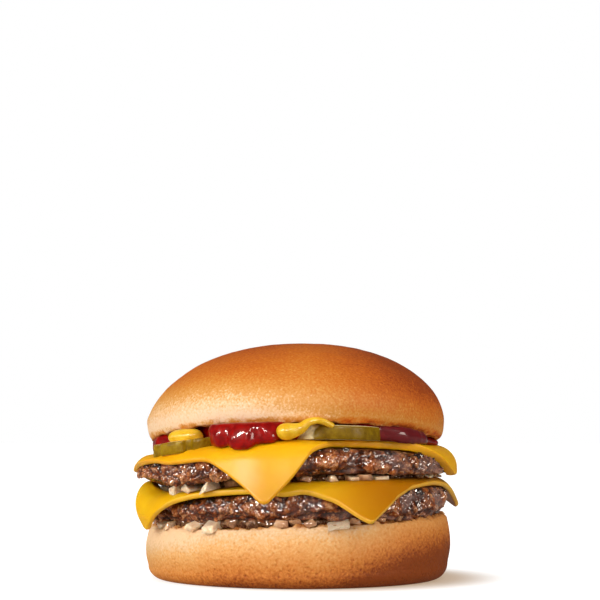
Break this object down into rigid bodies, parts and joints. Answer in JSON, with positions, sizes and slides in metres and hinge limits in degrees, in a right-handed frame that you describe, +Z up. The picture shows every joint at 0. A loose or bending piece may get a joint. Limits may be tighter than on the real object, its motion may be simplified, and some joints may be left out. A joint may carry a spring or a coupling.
{
  "type": "double cheeseburger",
  "caption": "Tall soft-bun cheeseburger with stacked beef patties, draped square cheese slices, diced onion, pickles, ketchup and mustard, standing upright.",
  "frame": {"origin": "centre of the bottom bun half's flat foot, on the surface the burger stands on", "axes": "+Z up through the stack, -Y towards the front that shows the hanging cheese corner, +X to the right seen from that front"},
  "size_m": [0.1049, 0.1114, 0.0724],
  "materials": {
    "bun": "soft baked bread with a smooth golden-brown skin",
    "beef": "seared minced beef, craggy and glossy with juice",
    "cheese": "smooth half-melted processed cheese",
    "onion": "moist translucent diced onion",
    "pickle": "wet olive-green pickled cucumber",
    "ketchup": "glossy thick tomato sauce",
    "mustard": "smooth glossy yellow mustard"
  },
  "bodies": {
    "root": {"bun_heel": "bun", "onion_bed_lower": "onion", "beef_patty_lower": "beef", "cheese_slice_lower": "cheese", "onion_bed_upper": "onion", "beef_patty_upper": "beef", "cheese_slice_upper": "cheese", "pickle_slice_left": "pickle", "pickle_slice_right": "pickle", "mustard_left": "mustard", "mustard_right": "mustard", "ketchup": "ketchup", "bun_crown": "bun"}
  },
  "joints": []
}
